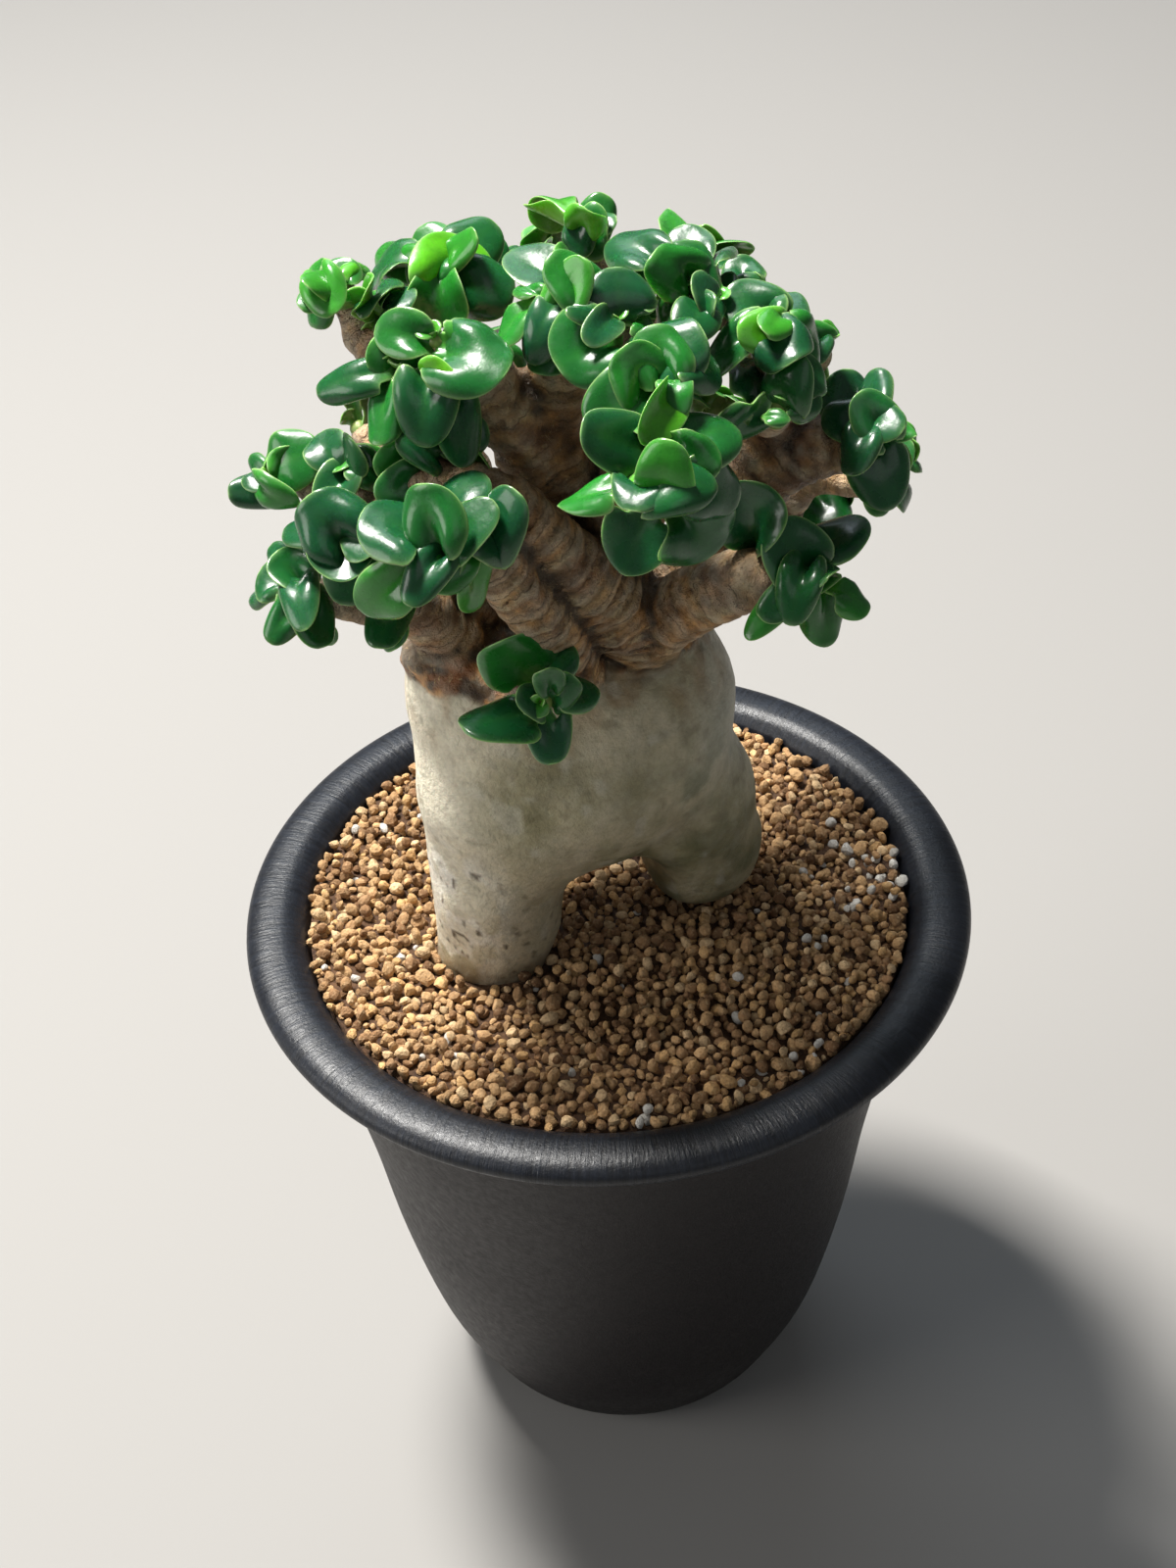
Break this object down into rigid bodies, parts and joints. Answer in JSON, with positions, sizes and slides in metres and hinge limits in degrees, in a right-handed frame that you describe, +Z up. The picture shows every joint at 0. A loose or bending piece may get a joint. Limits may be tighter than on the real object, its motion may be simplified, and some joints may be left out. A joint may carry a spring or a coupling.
{
  "type": "adenium arabicum bonsai in pot",
  "caption": "Bonsai succulent with a swollen two-legged caudex, short ring-scarred branches and glossy curled leaves, growing in granular soil in a round rolled-rim nursery pot.",
  "frame": {"origin": "centre of the pot's foot ring, on the surface the pot stands on", "axes": "+Z up along the pot's axis; +Y away from the side the plant is seen from; +X to the right of that view"},
  "size_m": [0.1048, 0.1048, 0.2015],
  "materials": {
    "pot_plastic": "matte black moulded plastic, rim finely scuffed",
    "soil_grains": "dry fired-clay granules with some pale pumice",
    "bark": "smooth leathery grey-beige skin with ring scars on the branches",
    "leaf": "thick glossy green succulent leaf"
  },
  "bodies": {
    "root": {"pot": "pot_plastic", "soil": "soil_grains", "caudex": "bark", "leaf_rosette_01": "leaf", "leaf_rosette_02": "leaf", "leaf_rosette_03": "leaf", "leaf_rosette_04": "leaf", "leaf_rosette_05": "leaf", "leaf_rosette_06": "leaf", "leaf_rosette_07": "leaf", "leaf_rosette_08": "leaf", "leaf_rosette_09": "leaf", "leaf_rosette_10": "leaf", "leaf_rosette_11": "leaf", "leaf_rosette_12": "leaf", "leaf_rosette_13": "leaf", "leaf_rosette_14": "leaf", "leaf_rosette_15": "leaf", "leaf_rosette_16": "leaf", "leaf_rosette_17": "leaf", "leaf_rosette_18": "leaf", "leaf_rosette_19": "leaf", "leaf_rosette_20": "leaf", "leaf_rosette_21": "leaf", "leaf_rosette_22": "leaf", "leaf_rosette_23": "leaf", "leaf_rosette_24": "leaf", "leaf_rosette_25": "leaf", "leaf_rosette_26": "leaf", "leaf_rosette_27": "leaf", "leaf_rosette_28": "leaf", "leaf_rosette_29": "leaf", "leaf_rosette_30": "leaf", "leaf_rosette_31": "leaf", "leaf_rosette_32": "leaf", "leaf_rosette_33": "leaf", "leaf_rosette_34": "leaf", "leaf_rosette_35": "leaf", "leaf_rosette_36": "leaf"}
  },
  "joints": []
}
